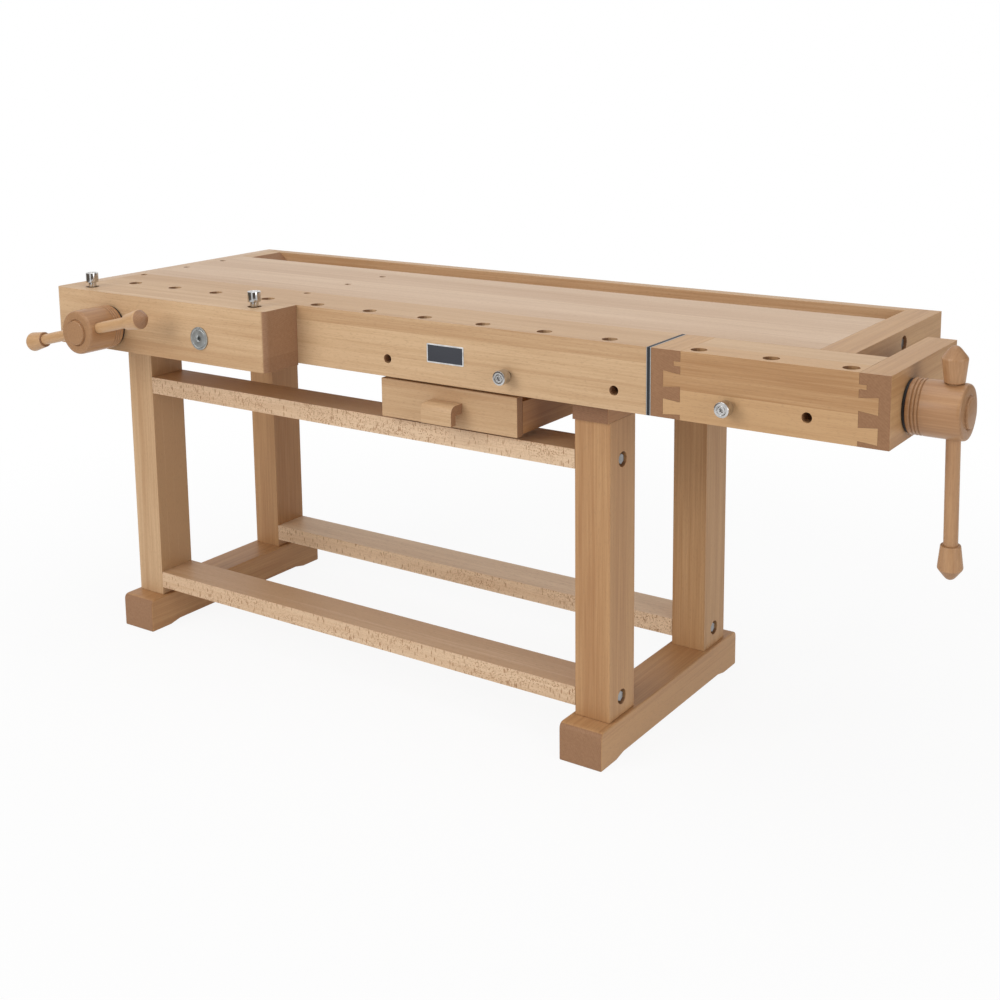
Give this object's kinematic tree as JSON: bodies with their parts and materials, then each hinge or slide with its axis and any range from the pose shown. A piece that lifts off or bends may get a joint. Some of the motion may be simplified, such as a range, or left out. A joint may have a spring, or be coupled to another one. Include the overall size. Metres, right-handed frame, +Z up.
{
  "type": "woodworking bench with vises",
  "caption": "Beech woodworking bench on sledge trestles with a front vise, a dovetailed tail vise, rows of round dog holes, a rear tool tray and a drawer.",
  "frame": {"origin": "on the floor under the middle of the bench's bounding box", "axes": "+X along the bench towards the tail vise, +Y from the front vise to the tool tray, +Z up"},
  "size_m": [2.0618, 0.8218, 0.8933],
  "materials": {
    "beech": "planed and oiled beech",
    "turned_beech": "turned beech, light polish",
    "steel": "bright turned steel",
    "iron": "raw casting",
    "collar": "black satin ring",
    "liner": "dark jaw lining"
  },
  "bodies": {
    "bench": {"left_foot": "beech", "right_foot": "beech", "left_bearer": "beech", "right_bearer": "beech", "left_front_leg": "beech", "left_rear_leg": "beech", "right_front_leg": "beech", "right_rear_leg": "beech", "front_upper_stretcher": "beech", "front_lower_stretcher": "beech", "rear_lower_stretcher": "beech", "front_beam": "beech", "bench_slab": "beech", "end_cap_left": "beech", "end_cap_right": "beech", "rear_board": "beech", "tray_bottom": "beech", "tray_ramp": "beech", "front_upper_bolt_left": "steel", "front_upper_bolt_right": "steel", "front_lower_bolt_left": "steel", "front_lower_bolt_right": "steel", "rear_lower_bolt_left": "steel", "rear_lower_bolt_right": "steel", "end_cap_bolt": "steel", "front_guide_sleeve": "steel", "front_nut": "iron", "tail_nut": "iron", "drawer_runner_left": "beech", "drawer_runner_right": "beech"},
    "front_jaw": {"front_jaw": "beech", "front_guide_rod": "steel", "front_collar": "collar"},
    "front_screw": {"front_hub": "turned_beech", "front_screw": "steel"},
    "front_handle": {"front_handle_bar": "turned_beech", "front_knob_left": "turned_beech", "front_knob_right": "turned_beech"},
    "jaw_dog_left": {"jaw_dog_left": "steel"},
    "jaw_dog_right": {"jaw_dog_right": "steel"},
    "tail_vise": {"tail_front_board": "beech", "tail_jaw_block": "beech", "tail_jaw_liner": "liner", "tail_top_board": "beech", "tail_end_board": "beech", "tail_collar": "collar", "tail_guide_rod": "steel"},
    "tail_screw": {"tail_hub": "turned_beech", "tail_screw": "steel"},
    "tail_handle": {"tail_handle_bar": "turned_beech", "tail_knob_top": "turned_beech", "tail_knob_bottom": "turned_beech"},
    "peg_bench": {"peg_bench": "steel"},
    "peg_tail": {"peg_tail": "steel"},
    "drawer": {"drawer_front": "beech", "drawer_side_left": "beech", "drawer_side_right": "beech", "drawer_bottom": "beech", "drawer_back": "beech", "drawer_pull": "beech"}
  },
  "joints": [
    {"name": "front_jaw_slide", "type": "slide", "parent": "bench", "child": "front_jaw", "axis": [0, -1, 0], "range_m": [0, 0.18]},
    {"name": "front_screw_turn", "type": "hinge", "parent": "front_jaw", "child": "front_screw", "pos_m": [-0.83094, -0.3129, 0.7755], "axis": [0, -1, 0], "range_deg": [0, 10800]},
    {"name": "front_handle_slide", "type": "slide", "parent": "front_screw", "child": "front_handle", "axis": [0.9724, 0, 0.2334], "range_m": [-0.093, 0.093]},
    {"name": "jaw_dog_left_lift", "type": "slide", "parent": "front_jaw", "child": "jaw_dog_left", "axis": [0, 0, 1], "range_m": [-0.033, 0.03]},
    {"name": "jaw_dog_right_lift", "type": "slide", "parent": "front_jaw", "child": "jaw_dog_right", "axis": [0, 0, 1], "range_m": [-0.033, 0.03]},
    {"name": "tail_vise_slide", "type": "slide", "parent": "bench", "child": "tail_vise", "axis": [1, 0, 0], "range_m": [0, 0.13]},
    {"name": "tail_screw_turn", "type": "hinge", "parent": "tail_vise", "child": "tail_screw", "pos_m": [0.93286, -0.1081, 0.7815], "axis": [1, 0, 0], "range_deg": [0, 7800]},
    {"name": "tail_handle_slide", "type": "slide", "parent": "tail_screw", "child": "tail_handle", "axis": [0, -0.0558, 0.9984], "range_m": [0, 0.186]},
    {"name": "peg_bench_pull", "type": "slide", "parent": "bench", "child": "peg_bench", "axis": [0, -1, 0], "range_m": [-0.007, 0.05]},
    {"name": "peg_tail_pull", "type": "slide", "parent": "tail_vise", "child": "peg_tail", "axis": [0, -1, 0], "range_m": [-0.007, 0.05]},
    {"name": "drawer_slide", "type": "slide", "parent": "bench", "child": "drawer", "axis": [0, -1, 0], "range_m": [0, 0.26]}
  ],
  "couplings": [
    {"joint": "front_jaw_slide", "follows": "front_screw_turn", "m_per_rad": 0.00095492},
    {"joint": "tail_vise_slide", "follows": "tail_screw_turn", "m_per_rad": 0.00095492}
  ]
}
